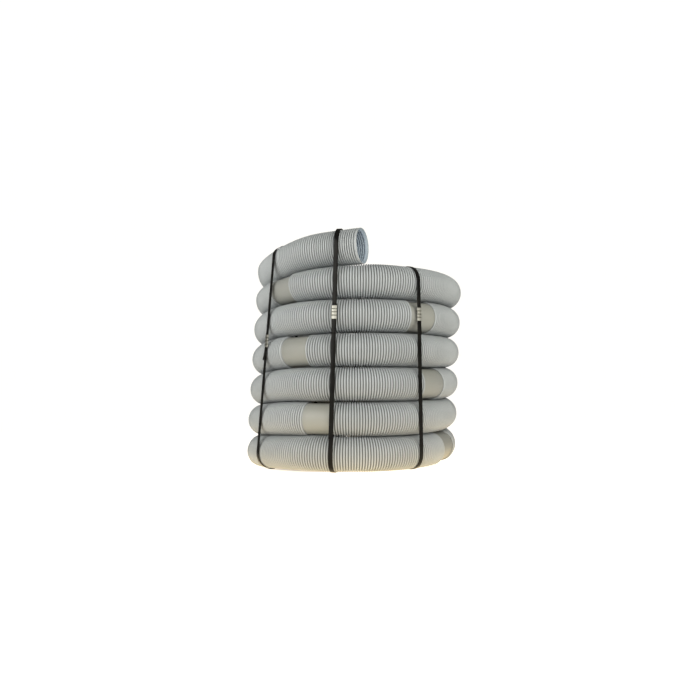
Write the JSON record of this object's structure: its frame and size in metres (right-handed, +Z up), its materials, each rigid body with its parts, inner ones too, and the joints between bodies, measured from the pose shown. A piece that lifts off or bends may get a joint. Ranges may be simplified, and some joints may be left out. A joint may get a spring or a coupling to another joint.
{
  "type": "pool vacuum hose",
  "caption": "Ribbed pool vacuum hose with smooth cuffs and open ends, wound into an upright coil and bound with crimped plastic straps.",
  "frame": {"origin": "centre of the whole part's outline in plan, on the surface that it stands on", "axes": "+Z up; -Y towards the side where the hose's open upper end lies, +X towards the way that this end opens"},
  "size_m": [0.4612, 0.4838, 0.4459],
  "materials": {
    "hose": "satin, light grey ribs with slightly warmer smooth cuffs",
    "strap": "glossy black strapping",
    "seal": "galvanised, crimped"
  },
  "bodies": {
    "root": {"hose": "hose", "strap_front_left": "strap", "strap_front": "strap", "strap_front_right": "strap", "strap_right": "strap", "strap_back_right": "strap", "strap_back": "strap", "strap_back_left": "strap", "strap_left": "strap", "seal_front_left": "seal", "seal_front": "seal", "seal_front_right": "seal", "seal_right": "seal", "seal_back_right": "seal", "seal_back": "seal", "seal_back_left": "seal", "seal_left": "seal"}
  },
  "joints": []
}
